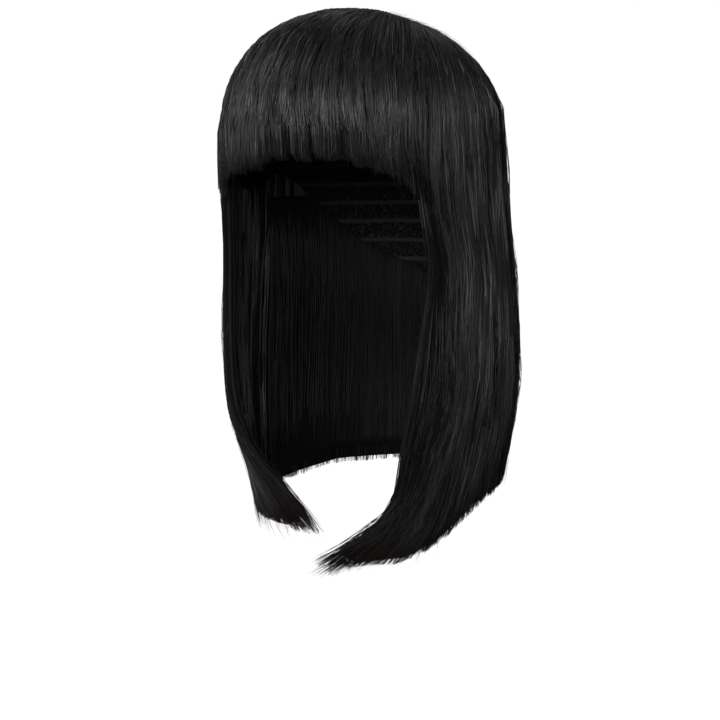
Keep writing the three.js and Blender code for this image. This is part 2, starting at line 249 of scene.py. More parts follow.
def swept_angle(start, level, is_right):
    """The angle round from the front, in degrees, of a strand that has fallen to a level."""
    edge = for_hand(is_right, EDGES, "leftEdge", "rightEdge", level)
    lock = for_hand(is_right, EDGES, "leftLock", "rightLock", level)
    over_front = start + (lock - FRINGE_END) * (start / FRINGE_END) ** 3
    in_lock = lock + (edge - lock) * (start - FRINGE_END) / (LOCK_END - FRINGE_END)
    behind = np.clip((start - LOCK_END) / (180 - LOCK_END), 0, 1)
    at_side = start + (edge - LOCK_END) * (1 - behind) ** 2
    return np.where(start <= FRINGE_END, over_front, np.where(start <= LOCK_END, in_lock, at_side))


def dome_height(surface, x, y):
    """The height of a dome over a plan point taken from the middle of its widest level."""
    ring = np.ones_like(x)
    for _ in range(DOME_PASSES):
        middle = -TOP_LEAD * (1 - ring**2)
        ring = np.minimum(1, np.hypot(x / surface["side"], (y - middle) / surface["end"]))
    rise = (1 - ring**DOME_POWER) ** (1 / DOME_POWER)
    away = np.hypot(x, y - CROWN_BACK) / CROWN_RADIUS
    return -BROW_DROP + (surface["top"] + BROW_DROP) * rise - surface["dip"] * np.exp(-away / 2)


def on_strand(surface, angle, way, forward=0.0):
    """Points of a surface, on the strands that start at these angles. way is 0 at the crown, 1 at the
    brow and 2 at the level of the longest tips. forward turns them towards the front, in degrees."""
    turned = (angle + 180) % 360 - 180
    is_right = turned < 0
    level = np.maximum(way - 1, 0)
    swept = np.radians(swept_angle(np.abs(turned), level, is_right) - forward)
    side = for_hand(is_right, REACHES, "left", "right", level)
    front = for_hand(is_right, REACHES, "leftFront", "rightFront", level)
    end = np.where(np.cos(swept) > 0, front, eased(REACHES, "back", level))
    x = np.where(is_right, -1, 1) * surface["side"] * side * np.sin(swept)
    y = -surface["end"] * end * np.cos(swept)
    length = np.hypot(x, y - CROWN_BACK)
    share = 1 - (1 - CROWN_RADIUS / length) * (1 - np.minimum(way, 1)) ** 2
    x = x * share
    y = CROWN_BACK + (y - CROWN_BACK) * share
    z = np.where(way < 1, dome_height(surface, x, y), -BROW_DROP - level * FALL)
    return np.stack([x, y + TOP_LEAD, z], axis=-1)


def in_wall(angle, way, share, forward=0.0):
    """Points in the wall of hair, from 0 on its outside to 1 on its underside."""
    outer = on_strand(OUTSIDE, angle, way, forward)
    inner = on_strand(UNDERSIDE, angle, way, forward)
    return outer + (inner - outer) * share[..., None]


def side_end(angle):
    """The way where the side and back hair ends."""
    turned = (angle + 180) % 360 - 180
    at = (np.abs(turned) - LOCK_END) / (180 - LOCK_END)
    left = np.interp(at, HEM["at"], HEM["left"])
    right = np.interp(at, HEM["at"], HEM["right"])
    return 1 + np.where(turned < 0, right, left)


def lock_end(angle):
    """The way where a front lock ends."""
    at = (np.abs(angle) - FRINGE_END) / (LOCK_END - FRINGE_END)
    left = np.interp(at, LOCK_HEM["at"], LOCK_HEM["left"])
    right = np.interp(at, LOCK_HEM["at"], LOCK_HEM["right"])
    return 1 + np.where(angle < 0, right, left)


def fringe_end(angle):
    """The way where the fringe ends."""
    return 1 + (np.interp(angle, FRINGE_HEM["angle"], FRINGE_HEM["drop"]) * MM - BROW_DROP) / FALL


def wisp_end(angle):
    """The way where the loosest tips beside the opening end, a little below the hem."""
    hem = np.where(np.abs(angle) < LOCK_END, lock_end(angle), side_end(angle))
    return hem + np.where(angle < 0, WISP_DROP["right"], WISP_DROP["left"])


def nape_end(angle):
    """The way where the nape layer ends, a little above the hair over it."""
    return side_end(angle) - NAPE_RISE


def smooth(low, high, value):
    """0 below low, 1 above high, and a smooth step between them."""
    t = np.clip((value - low) / (high - low), 0, 1)
    return t * t * (3 - 2 * t)


# Meshes


def mesh_object(name, corners, groups):
    """An object from an array of corners and from arrays of faces, each of faces of one size."""
    mesh = bpy.data.meshes.new(name)
    sizes = np.concatenate([np.full(len(faces), faces.shape[1]) for faces in groups])
    numbers = np.concatenate([faces.ravel() for faces in groups])
    mesh.vertices.add(len(corners))
    mesh.vertices.foreach_set("co", corners.ravel())
    mesh.loops.add(len(numbers))
    mesh.loops.foreach_set("vertex_index", numbers.astype(np.int32))
    mesh.polygons.add(len(sizes))
    mesh.polygons.foreach_set("loop_start", (np.cumsum(sizes) - sizes).astype(np.int32))
    mesh.polygons.foreach_set("use_smooth", np.full(len(sizes), True))
    mesh.update(calc_edges=True)
    mesh.validate()
    piece = bpy.data.objects.new(name, mesh)
    bpy.context.scene.collection.objects.link(piece)
    return piece


def quads(grid):
    """The faces of a grid of corner numbers whose rows run down and columns to greater angles."""
    faces = np.stack([grid[:-1, :-1], grid[1:, :-1], grid[1:, 1:], grid[:-1, 1:]], axis=-1)
    return faces.reshape(-1, 4)


def band(edge, other):
    """The faces between two edges of corner numbers."""
    return np.stack([edge[:-1], edge[1:], other[1:], other[:-1]], axis=-1)


def add_values(piece, name, values):
    """A number for each corner of a piece, which its material reads."""
    layer = piece.data.attributes.new(name, "FLOAT", "POINT")
    layer.data.foreach_set("value", values.astype(np.float32).ravel())


def strand_cells(piece, strands, rings, sides):
    """A UV cell for each strand, with its sides beside each other, so that a bake keeps each apart."""
    across = math.ceil(math.sqrt(strands))
    cell = 1 / across
    margin = 0.04
    inset = 0.04
    strand = np.arange(strands)
    left = (strand % across) * cell
    low = (strand // across) * cell
    ring = np.arange(rings - 1)
    side = np.arange(sides)
    u0 = left[:, None, None] + cell * (margin + (1 - 2 * margin) * (side[None, None, :] + inset) / sides)
    u1 = u0 + cell * (1 - 2 * margin) * (1 - 2 * inset) / sides
    v0 = low[:, None, None] + cell * (margin + (1 - 2 * margin) * ring[None, :, None] / (rings - 1))
    v1 = v0 + cell * (1 - 2 * margin) / (rings - 1)
    u0, u1, v0, v1 = np.broadcast_arrays(u0, u1, v0, v1)
    walls = np.stack([u0, v0, u0, v1, u1, v1, u1, v0], axis=-1)
    ends = [end_cells(left, low, cell, margin, sides, share) for share in (0.0, 0.5)]
    layer = piece.data.uv_layers.new(name="OFBake")
    cells = np.concatenate([walls.ravel()] + ends)
    layer.data.foreach_set("uv", cells.astype(np.float32))


def end_cells(left, low, cell, margin, sides, share):
    """The UV places of the strands' ends, which lie in the margins of their cells."""
    turn = 2 * np.pi * np.arange(sides) / sides
    u = left[:, None] + cell * (share + 0.25 + 0.2 * np.cos(turn))
    v = low[:, None] + cell * margin * (0.5 + 0.4 * np.sin(turn))
    return np.stack([u, v], axis=-1).ravel()


def tubes(name, centre, outward, radius, tone):
    """One joined mesh of tapered tubes. centre and outward are strands by rings by 3, and radius and
    tone are strands by rings."""
    strands, rings, _ = centre.shape
    sides = TUBE_SIDES
    along = np.gradient(centre, axis=1)
    along /= np.linalg.norm(along, axis=-1, keepdims=True)
    beside = np.cross(along, outward)
    beside /= np.linalg.norm(beside, axis=-1, keepdims=True)
    above = np.cross(beside, along)
    turn = 2 * np.pi * np.arange(sides) / sides + np.pi / 2
    ring = np.cos(turn)[:, None] * beside[:, :, None] + np.sin(turn)[:, None] * above[:, :, None]
    corners = centre[:, :, None] + radius[:, :, None, None] * ring
    index = np.arange(strands * rings * sides).reshape(strands, rings, sides)
    here = index[:, :-1]
    there = index[:, 1:]
    walls = np.stack([here, there, np.roll(there, -1, 2), np.roll(here, -1, 2)], axis=-1)
    piece = mesh_object(name, corners.reshape(-1, 3), [walls.reshape(-1, 4), index[:, 0], index[:, -1, ::-1]])
    spread = np.broadcast_to(tone[:, :, None], index.shape)
    place = np.broadcast_to(np.linspace(0, 1, rings)[None, :, None], index.shape)
    add_values(piece, "tone", spread)
    add_values(piece, "along", place)
    strand_cells(piece, strands, rings, sides)
    return piece


# Strands


def clumped(start, width, row):
    """The clump of each start angle, from a row of uneven clumps that goes all the way round."""
    count = round(360 / width)
    rng = np.random.default_rng(count * 3 + row)
    middles = -180 + 360 / count * (np.arange(count * 2) + rng.uniform(0.15, 0.85, count * 2))
    clump = np.abs(start[:, None] - middles[None, :]).argmin(axis=1)
    return {
        "middle": middles[clump],
        "tip": rng.normal(0, 1, count * 2)[clump],
        "lift": rng.normal(0, 1, count * 2)[clump],
        "tone": rng.uniform(0, 1, count * 2)[clump],
        "slant": rng.normal(0, 1, count * 2)[clump],
        "phase": rng.uniform(0, 2 * np.pi, count * 2)[clump],
        "pace": rng.uniform(0.7, 1.3, count * 2)[clump],
    }


def front_sweep(angle, way):
    """How far the tips beside the opening turn to the front, in degrees, beyond the fall's own sweep."""
    turned = (angle + 180) % 360 - 180
    near_front = 1 - smooth(0, FRONT_REACH, np.abs(turned) - FRINGE_END)
    level = way - 1
    left = FRONT_SWEEP["left"] * smooth(*SWEEP_LEVELS["left"], level)
    right = FRONT_SWEEP["right"] * smooth(*SWEEP_LEVELS["right"], level)
    return near_front * np.where(turned < 0, right, left)


def fringe_ways(rng, count):
    """The shares of the fringe's strands at their rings, each strand with a shift of its own."""
    even = np.array(FRINGE_WAYS)
    shift = 0.4 * rng.uniform(-1, 1, (count, 1)) * np.gradient(even)
    shift[:, [0, -1]] = 0
    return even + shift


def ways_down(rng, root, tip, rings):
    """The way of each ring of each strand, closer together over the dome and uneven below it. rings
    are those below the brow, and the fringe has its own."""
    dome = np.array(DOME_WAYS) * rng.uniform(0.9, 1.02, (len(root), 1))
    share = np.linspace(0, 1, rings) + rng.uniform(-0.45, 0.45, (len(root), 1)) / rings
    share[:, -1] = 1
    root = root[:, None]
    tip = tip[:, None]
    if root.min() >= 1:
        return root + (tip - root) * np.maximum(share, 0)
    if tip.mean() > PAST_FRINGE:
        return np.concatenate([root + (1 - root) * dome, 1 + (tip - 1) * share], axis=1)
    return root + (tip - root) * fringe_ways(rng, len(root))


def slanted(way):
    """How far the fringe's slant has gone: it starts above the brow and goes on evenly to the hem."""
    return 0.42 * np.clip((way - 0.72) / 0.28, 0, 1) ** 1.5 + 0.58 * np.clip((way - 1) / 0.06, 0, 2)


def gathered(angle, clumps, reach):
    """Angles drawn towards the middles of clumps, which part and join anew on the way down."""
    drawn = np.zeros_like(reach)
    for clump, (start, full, end, gone) in zip(clumps, CLUMP_STRETCHES):
        weight = smooth(start, full, reach) * (1 - smooth(end, gone, reach))
        drawn += weight * (clump["middle"] - angle)[:, None]
    return drawn


def slant_of(angle):
    """How much the fringe slants: most over the wearer's left brow, and the other way at its right end."""
    return 1.2 * smooth(-45, 15, angle) - 0.2 - 0.6 * smooth(30, 58, angle)


def settled(reach):
    """How freely a strand moves aside or in and out: not at its root, and fully from half its way on."""
    return smooth(0.05, 0.5, reach)


def strand_angles(rng, angle, way, reach, phase, clumps, look):
    """The start angles as they change on the way down: strands gather in clumps, sway, drift and slant."""
    clump = clumps[-1]
    here = angle[:, None]
    turns = rng.uniform(2, 6, (len(angle), 1))
    drift = 0.9 * np.sin(here / 9 + way * 4.1) + 0.5 * np.sin(here / 3.7 - way * 6.3)
    clump_sway = np.sin(clump["phase"][:, None] + way * 9 * clump["pace"][:, None])
    sway = look["sway"] * np.sin(phase + reach * turns) + look["clump_sway"] * clump_sway
    slant = look["clump_slant"] * clump["slant"] + look["own_slant"] * rng.normal(0, 1, len(angle))
    bend = np.clip((reach - 0.55) / 0.45, 0, 1) ** 2
    changed = here + gathered(angle, clumps, reach) * look["pull"]
    changed += (clump["middle"] - angle)[:, None] * look["tip_pull"] * smooth(0.86, 1.0, reach)
    changed += (sway + look["drift"] * drift) * settled(reach) + slant[:, None] * bend
    return changed + look["slant"] * slant_of(angle)[:, None] * slanted(way)


def strand_shares(rng, depth, way, reach, phase, clump, look, emerge):
    """How deep in the wall each ring lies: strands come up from under others, wave and close up again."""
    wave = look["wave"] * np.sin(clump["phase"][:, None] * 3 + way * 21 * clump["pace"][:, None])
    wave += look["own_wave"] * np.sin(phase * 2 + way * 33)
    lift = clump["lift"][:, None] * look["lift"] * smooth(0.1, 0.6, reach)
    sink = emerge * (1 - smooth(0.0, 0.25, reach))
    tip_depth = 0.85 * rng.uniform(0, 1, len(depth)) ** 1.3
    tuck = (tip_depth - depth)[:, None] * look["tuck"] * smooth(0.8, 1.0, reach)
    return np.clip(depth[:, None] + lift + sink + tuck + wave * settled(reach), look["highest"], 1)


def strand_paths(rng, angle, root, tip, depth, clumps, look, emerge, deep):
    """Centres, outward directions, reach and tone of strands, which run from their root to their tip."""
    way = ways_down(rng, root, tip, look["rings"])
    reach = (way - root[:, None]) / (tip - root)[:, None]
    phase = rng.uniform(0, 2 * np.pi, (len(angle), 1))
    changed = strand_angles(rng, angle, way, reach, phase, clumps, look)
    share = strand_shares(rng, depth, way, reach, phase, clumps[-1], look, emerge)
    if deep is not None:
        share = deep(share, way, angle[:, None])
    forward = front_sweep(angle[:, None], way) * rng.normal(1, look["fan"], (len(angle), 1))
    centre = in_wall(changed, way, share, forward)
    outward = on_strand(OUTSIDE, changed, way, forward) - on_strand(UNDERSIDE, changed, way, forward)
    return centre, outward, reach, strand_tones(rng, angle, clumps[-1], way, look)


def strand_tones(rng, angle, clump, way, look):
    """How light each ring of each strand is, from 0 to 1: it follows the clump, and goes light and
    dark on the way down. Painted shade darkens it beside the groove at the front locks and on the lowest part
    of the falls, and a painted highlight lightens some kinds of strand."""
    own = rng.uniform(-0.5, 0.5, (len(angle), 1))
    run = np.sin(clump["phase"][:, None] * 5 + way * 19 * clump["pace"][:, None])
    broad = np.sin(angle[:, None] / 2.3 + way * 5) * np.sin(angle[:, None] / 6.1 - way * 9)
    change = 0.38 * (clump["tone"][:, None] - 0.5) + 0.44 * own + 0.14 * run + 0.11 * broad
    from_edge = np.abs(np.abs(angle)[:, None] - LOCK_END)
    near_edge = 1 - smooth(0, look["edge_reach"], from_edge)
    # Painted shade: strands are darkened beside the groove between the front locks and the side hair, below
    # the brow
    painted_edge_shade = look["painted_edge_shade"] * near_edge * smooth(look["edge_low"], look["edge_low"] + 0.17, way)
    # Painted shade: strands are darkened on the lowest part of the falls
    painted_low_shade = look["painted_low_shade"] * smooth(1.5, 1.8, way)
    # Painted highlight: some kinds of strand are lightened all over
    tone = 0.5 + look["contrast"] * change + look["painted_highlight_lift"] - painted_edge_shade - painted_low_shade
    return np.clip(tone, 0, 1)


def hair_depths(rng, count, outer_share):
    """How deep in the wall each strand lies: most near the outside, and some on the underside."""
    near = rng.uniform(0, 1, count) ** 1.6 * 0.28 - 0.06
    far = 0.9 + 0.1 * rng.uniform(0, 1, count)
    return np.where(rng.uniform(0, 1, count) < outer_share, near, far)


def spread_starts(rng, start, end, count):
    """Start angles, one in each of as many equal steps, so that no gap or crowd is left to chance."""
    step = (end - start) / count
    return start + step * (np.arange(count) + rng.uniform(0.1, 0.9, count))


def strand_roots(rng, count, look):
    """Which strands start on the crown, and the way where each strand starts."""
    from_crown = rng.uniform(0, 1, count) < look["from_crown"]
    root = np.where(from_crown, rng.uniform(0, 0.05, count), rng.uniform(0.05, 0.85, count))
    return from_crown, root * look["root_reach"]


def shade_strands(rng, piece, tone, look):
    """Gives the darker, duller fibre, a painted shade, to the rings of a dark tone and to those from the
    painted-shade ring down.
    """
    count, rings = tone.shape
    piece.data.materials.append(bpy.data.materials[look["fibre"]])
    piece.data.materials.append(bpy.data.materials["shaded_fibre"])
    # Painted shade: from this ring down, and wherever the tone is dark
    first = look["painted_shade_ring"] + rng.integers(0, 2, count)
    shaded = np.arange(rings - 1)[None, :] >= first[:, None]
    shaded |= tone[:, 1:] < look["painted_shade_tone"] + rng.uniform(-0.13, 0.13, (count, 1))
    ends = np.zeros(2 * count, bool)
    index = np.concatenate([np.repeat(shaded.ravel(), TUBE_SIDES), ends])
    piece.data.polygons.foreach_set("material_index", index.astype(np.int32))


def make_strands(name, span, end_of, count, look, deep=None, root_low=0.0):
    """A joined mesh of strands for one fall of hair, from its span of start angles and its hem."""
    hair = bpy.context.scene.wig_hair
    rng = np.random.default_rng(hair.seed + len(name))
    angle = spread_starts(rng, span[0], span[1], count)
    from_crown, root = strand_roots(rng, count, look)
    root += root_low
    clumps = [clumped(angle, look["clump"] * size, row) for row, size in enumerate(CLUMP_SIZES)]
    own_tip = 0.6 * look["own_tip"] - rng.exponential(look["own_tip"], count)
    tip = end_of(angle) + (clumps[-1]["tip"] * look["clump_tip"] + own_tip) * MM / FALL
    depth = hair_depths(rng, count, look["outer_share"])
    emerge = np.where(from_crown, 0.1, 0.7)[:, None] * (1 - depth[:, None])
    centre, outward, reach, tone = strand_paths(rng, angle, root, tip, depth, clumps, look, emerge, deep)
    width = hair.strand_width * look["width"] * rng.uniform(0.7, 1.3, count)[:, None]
    thin = 1 - (1 - look["point"]) * smooth(look["thin_from"], 1.0, reach)
    radius = width / 2 * thin * (0.6 + 0.4 * smooth(0, 0.1, reach))
    piece = tubes(name, centre, outward, radius, tone)
    shade_strands(rng, piece, tone, look)
    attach(piece, "root")


# How the strands of each kind of fall lie and look. clump, the slants, sways and drift are in
# degrees, the tips' spreads in millimetres, the ways of the painted edge shade and of the painted low shade
# as on_strand has them, and the rest in shares of the wall, of the strand or of the hair's width.
FALL_LOOK = {
    "from_crown": 0.6,
    "root_reach": 1.0,
    "clump": 1.9,
    "clump_tip": 0.35,
    "own_tip": 1.0,
    "outer_share": 0.86,
    "rings": 12,
    "width": 1.0,
    "pull": 0.38,
    "tip_pull": 0.0,
    "tuck": 0.8,
    "sway": 0.55,
    "clump_sway": 0.6,
    "drift": 0.6,
    "slant": 0.0,
    "clump_slant": 0.1,
    "own_slant": 0.3,
    "fan": 0.12,
    "wave": 0.08,
    "own_wave": 0.015,
    "lift": 0.05,
    "highest": -0.1,
    "point": 0.35,
    "thin_from": 0.9,
    # Painted highlight: how much lighter these strands are made
    "painted_highlight_lift": 0.0,
    "contrast": 1.0,
    # Painted shade beside the groove at the front locks: its depth, how far round it reaches and the way
    # where it starts
    "painted_edge_shade": 0.3,
    "edge_reach": 9,
    "edge_low": 1.03,
    # Painted shade: how much darker the lowest part of the falls is made
    "painted_low_shade": 0.1,
    "fibre": "strand_fibre",
    # Painted shade: the ring from which every ring gets the darker, duller fibre, and the tone below which a
    # ring gets it
    "painted_shade_ring": 99,
    "painted_shade_tone": 0.34,
}
FRINGE_LOOK = FALL_LOOK | {
    "clump": 1.6,
    "clump_tip": 1.7,
    "own_tip": 1.3,
    "pull": 0.45,
    "tip_pull": 0.75,
    "drift": 0.8,
    "slant": 7.0,
    "clump_slant": 1.5,
    "own_slant": 1.0,
    # Painted highlight: the fringe is made a little lighter
    "painted_highlight_lift": 0.04,
    "contrast": 0.6,
    # The fringe's painted edge shade reaches further round and starts higher
    "edge_reach": 24,
    "edge_low": 0.92,
    "painted_shade_tone": 0.31,
}
LOCK_LOOK = FALL_LOOK | {
    "clump": 0.8,
    "clump_tip": 1.2,
    "own_tip": 4.5,
    "outer_share": 0.75,
    "pull": 0.15,
    "sway": 0.3,
    "clump_sway": 0.25,
    "drift": 0.25,
    "own_slant": 0.6,
    "fan": 0.3,
    "point": 0.3,
    "thin_from": 0.92,
    # Painted shade: the locks get the darker, duller fibre from about the brow down
    "painted_shade_ring": 8,
}
NAPE_LOOK = FALL_LOOK | {
    "root_reach": 0.05,
    "own_tip": 1.5,
    "outer_share": 0.1,
    "rings": 8,
    "pull": 0.1,
    "lift": 0.03,
    # Painted shade: the whole nape layer gets the darker, duller fibre
    "fibre": "shaded_fibre",
}
STRAY_LOOK = FALL_LOOK | {
    "clump": 4.0,
    "own_tip": 9.0,
    "outer_share": 1.0,
    "width": 0.6,
    "pull": 0.1,
    "tuck": 0.0,
    "sway": 1.7,
    "own_slant": 2.0,
    "wave": 0.16,
    "own_wave": 0.05,
    "lift": 0.1,
    "highest": -0.3,
    "point": 0.2,
    "thin_from": 0.6,
    # Painted highlight: the strays are made far lighter, towards the painted highlight colour
    "painted_highlight_lift": 0.25,
    "fibre": "stray_fibre",
}
STRAY_FRINGE_LOOK = STRAY_LOOK | {"own_tip": 3.0, "sway": 0.8}
WISP_LOOK = STRAY_LOOK | {
    "root_reach": 0.4,
    "own_tip": 6.0,
    "rings": 8,
    "sway": 1.0,
    "own_slant": 5.0,
    "fan": 0.6,
    "highest": -0.1,
    "thin_from": 0.8,
    "painted_highlight_lift": 0.0,
    "fibre": "strand_fibre",
}


# Shells


def fringe_wall(share, way, angle):
    """Lifts the fringe where it leaves the crown, and keeps it full down to near its hem."""
    beside = 1 - 0.65 * smooth(25, 58, np.abs(angle))
    puff = 0.24 * smooth(0.0, 0.1, way) * (1 - smooth(0.15, 0.45, way)) * beside
    bulge = smooth(0.86 + 0.05 * np.sin(angle * 1.7), 1.07 + 0.02 * np.sin(angle * 2.9), way)
    bulge *= (1 - 0.6 * smooth(1.1, 1.16, way)) * (1 - 0.75 * smooth(38, 58, np.abs(angle)))
    return share - puff - 0.26 * bulge


def under_wall(share, way, angle):
    """Turns a share of the nape layer's wall into one of the wall of hair that it lies under."""
    return 1.1 + 0.72 * share * smooth(1.14, 1.4, way)


def recessed(share, way, angle):
    """Sets the front locks back below the brow, most at the groove between them and the side hair."""
    toward_groove = (np.abs(angle) - FRINGE_END) / (LOCK_END - FRINGE_END)
    back = (0.16 + 0.5 * toward_groove) * smooth(0.9, 1.15, way) * np.where(angle < 0, 0.35, 1.0)
    return back + share * (1 - back)


def streaks(rng, columns, rows):
    """Low ridges that run down a shell, each wandering a little on its way."""
    coarse = rng.normal(0, 1, (rows, columns))
    for _ in range(3):
        coarse = (np.roll(coarse, 1, 0) + 2 * coarse + np.roll(coarse, -1, 0)) / 4
    return (np.roll(coarse, 1, 1) + coarse) / 2


def make_shell(name, span, end_of, trim, shares=SHELL_SHARES, deep=None, way_low=0.0):
    """The closed body of hair that the strands lie on, which stands for the frame's node of this name."""
    rng = np.random.default_rng(bpy.context.scene.wig_hair.seed)
    columns = max(FEWEST_COLUMNS, round(abs(span[1] - span[0]) * SHELL_COLUMNS))
    rows = SHELL_ROWS
    angle = np.linspace(span[0], span[1], columns)[None, :] * np.ones((rows, 1))
    tip = end_of(angle) - trim * MM / FALL
    down = np.linspace(0, 1, rows)[:, None]
    way = way_low + (tip - way_low) * down
    ridge = 0.05 * streaks(rng, columns, rows) * smooth(0, 0.2, down)
    thin = 0.3 * smooth(0.85, 1, down)
    top = shares[0] + ridge + thin
    low = shares[1] - thin * 0.8
    if deep is not None:
        top = deep(top, way, angle)
        low = deep(low, way, angle)
    forward = front_sweep(angle, way)
    outer = in_wall(angle, way, top, forward)
    inner = in_wall(angle, way, low, forward)
    corners = np.concatenate([outer.reshape(-1, 3), inner.reshape(-1, 3)])
    grid = np.arange(rows * columns).reshape(rows, columns)
    under = grid + rows * columns
    faces = [
        quads(grid),
        quads(under)[:, ::-1],
        band(grid[0], under[0]),
        band(grid[-1], under[-1])[:, ::-1],
        band(grid[:, 0], under[:, 0])[:, ::-1],
        band(grid[:, -1], under[:, -1]),
    ]
    piece = mesh_object(name + "_shell", corners, faces)
    add_values(piece, "across", np.tile(angle.ravel(), 2))
    add_values(piece, "along", np.tile(way.ravel(), 2))
    piece.data.materials.append(bpy.data.materials["hair_shell"])
    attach(piece, "root")
    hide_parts(name)


# Crown


def crown_point(x, y, lift):
    """A point over the crown, from the spot that the hair starts from."""
    z = dome_height(OUTSIDE, x, y + CROWN_BACK)
    return np.stack([x, y + CROWN_BACK + TOP_LEAD, z + lift], axis=-1)


def make_crown_disc():
    """The small body of hair inside the ring where the strands start, closed below."""
    sides = CROWN_DISC["sides"]
    rings = CROWN_DISC["rings"]
    turn = np.linspace(0, 2 * np.pi, sides, endpoint=False)[None, :]
    reach = (CROWN_DISC["radius"] * np.linspace(CROWN_DISC["open"], 1, rings))[:, None]
    swirl = turn + CROWN_RIDGES["swirl"] * reach / CROWN_RADIUS
    ridge = CROWN_RIDGES["height"] * np.sin(CROWN_RIDGES["count"] * turn) * np.ones((rings, 1))
    top = crown_point(reach * np.sin(swirl), -reach * np.cos(swirl), ridge - CROWN_DISC["top"])
    low = crown_point(reach * np.sin(swirl), -reach * np.cos(swirl), ridge - CROWN_DISC["low"])
    grid = np.arange(rings * sides).reshape(rings, sides)
    closed = np.concatenate([grid, grid[:, :1]], axis=1)
    under = closed + rings * sides
    rims = [band(closed[0], under[0]), band(closed[-1], under[-1])[:, ::-1]]
    faces = [quads(closed), quads(under)[:, ::-1], *rims]
    corners = np.concatenate([top.reshape(-1, 3), low.reshape(-1, 3)])
    piece = mesh_object("crown_whorl_body", corners, faces)
    add_values(piece, "across", np.tile(np.broadcast_to(np.degrees(turn), (rings, sides)).ravel(), 2))
    add_values(piece, "along", np.zeros(2 * rings * sides))
    piece.data.materials.append(bpy.data.materials["hair_shell"])
    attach(piece, "root")
    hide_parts("crown_whorl")


def crown_starts(rng, form):
    """The direction from the swirl and the start of each short hair: round the swirl, and over the top."""
    around = form["round"]
    over = form["over_top"]
    top_turn = form["top_turn"]
    turn = np.concatenate([rng.uniform(-np.pi, np.pi, around), rng.uniform(-top_turn, top_turn, over)])
    start = np.concatenate([rng.uniform(0.05, 0.9, around), rng.uniform(1, form["top_reach"], over)])
    return turn[:, None], start[:, None] * CROWN_RADIUS


def make_crown_hairs():
    """Short hairs that start on the crown, lie outwards and lift a little at their ends."""
    form = CROWN_HAIRS
    rng = np.random.default_rng(bpy.context.scene.wig_hair.seed + 1)
    turn, start = crown_starts(rng, form)
    count = len(turn)
    length = rng.uniform(form["shortest"], form["longest"], (count, 1))
    share = np.linspace(0, 1, form["rings"])[None, :]
    reach = start + length * share
    swirl = turn + 0.5 * share * rng.normal(1, 0.5, (count, 1))
    lift = np.minimum(rng.exponential(1.4, (count, 1)), form["most_lift"])
    rise = MM * (rng.uniform(-1.0, 0.6, (count, 1)) + lift * share**2)
    centre = crown_point(reach * np.sin(swirl), -reach * np.cos(swirl), rise)
    outward = np.zeros_like(centre)
    outward[..., 2] = 1
    radius = form["radius"] * (1 - 0.7 * share) * np.ones((count, 1))
    tone = rng.uniform(0.2, 0.9, (count, 1)) * np.ones_like(share)
    piece = tubes("crown_hairs", centre, outward, radius, tone)
    # Painted highlight: the crown's short hairs get the far lighter fibre of the strays
    piece.data.materials.append(bpy.data.materials["stray_fibre"])
    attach(piece, "root")


# Strays


def make_strays():
    """Fine single hairs over the whole wig, which stand a little off its outside."""
    hair = bpy.context.scene.wig_hair
    behind = (LOCK_END, 360 - LOCK_END)
    front = (-FRINGE_END, FRINGE_END)
    fewer = hair.stray_strands // 2
    make_strands("stray_strands", behind, side_end, hair.stray_strands, STRAY_LOOK)
    make_strands("stray_fringe_strands", front, fringe_end, fewer, STRAY_FRINGE_LOOK, fringe_wall)


def make_wisps():
    """Loose hairs beside the opening, which fan out at the two front tips."""
    count = bpy.context.scene.wig_hair.wisp_strands
    for hand, sign in HANDS.items():
        span = sorted((sign * FRINGE_END, sign * WISP_REACH[hand]))
        make_strands(hand + "_wisps", span, wisp_end, count, WISP_LOOK, root_low=WISP_START)


# Materials


def new_material(name):
    """The node tree and the shader of a new material."""
    material = bpy.data.materials.new(name)
    material.use_nodes = True
    tree = material.node_tree
    return tree, tree.nodes["Principled BSDF"]


def attribute(tree, name):
    """The output of a number that the mesh carries."""
    node = tree.nodes.new("ShaderNodeAttribute")
    node.attribute_name = name
    return node.outputs["Fac"]


def ramp(tree, source, stops):
    """A colour ramp of positions and linear colours."""
    node = tree.nodes.new("ShaderNodeValToRGB")
    tree.links.new(source, node.inputs["Fac"])
    band_of = node.color_ramp
    while len(band_of.elements) < len(stops):
        band_of.elements.new(0.5)
    for element, (position, colour) in zip(band_of.elements, stops):
        element.position = position
        element.color = (*colour, 1)
    return node.outputs["Color"]


def mix_colours(tree, factor, low, high):
    """A mix of two colours by a factor."""
    node = tree.nodes.new("ShaderNodeMix")
    node.data_type = "RGBA"
    tree.links.new(factor, node.inputs["Factor"])
    for socket, value in (("A", low), ("B", high)):
        inputs = [s for s in node.inputs if s.name == socket and s.type == "RGBA"][0]
        if isinstance(value, bpy.types.NodeSocket):
            tree.links.new(value, inputs)
        else:
            inputs.default_value = (*value, 1)
    return [s for s in node.outputs if s.type == "RGBA"][0]


def map_range(tree, source, low, high, to_low, to_high):
    """A number mapped from one range to another."""
    node = tree.nodes.new("ShaderNodeMapRange")
    tree.links.new(source, node.inputs["Value"])
    for name, value in (("From Min", low), ("From Max", high), ("To Min", to_low), ("To Max", to_high)):
        node.inputs[name].default_value = value
    return node.outputs["Result"]


def strand_material(name, gloss, lightest):
    """Glossy black fibre: each strand has its own depth of black, and the tips turn warm."""
    colours = bpy.context.scene.wig_colours
    tree, shader = new_material(name)
    tone = attribute(tree, "tone")
    body = ramp(tree, tone, [(0.3, colours.hair_dark), (0.6, colours.hair_mid), (1.0, lightest)])
    tip = map_range(tree, attribute(tree, "along"), 0.92, 1.0, 0.0, 0.6)
    tree.links.new(mix_colours(tree, tip, body, tuple(colours.tip_warm)), shader.inputs["Base Color"])
    roughness = map_range(tree, tone, 0.3, 0.9, ROUGHNESS["dark"], ROUGHNESS["light"])
    tree.links.new(roughness, shader.inputs["Roughness"])
    shader.inputs["Specular IOR Level"].default_value = gloss


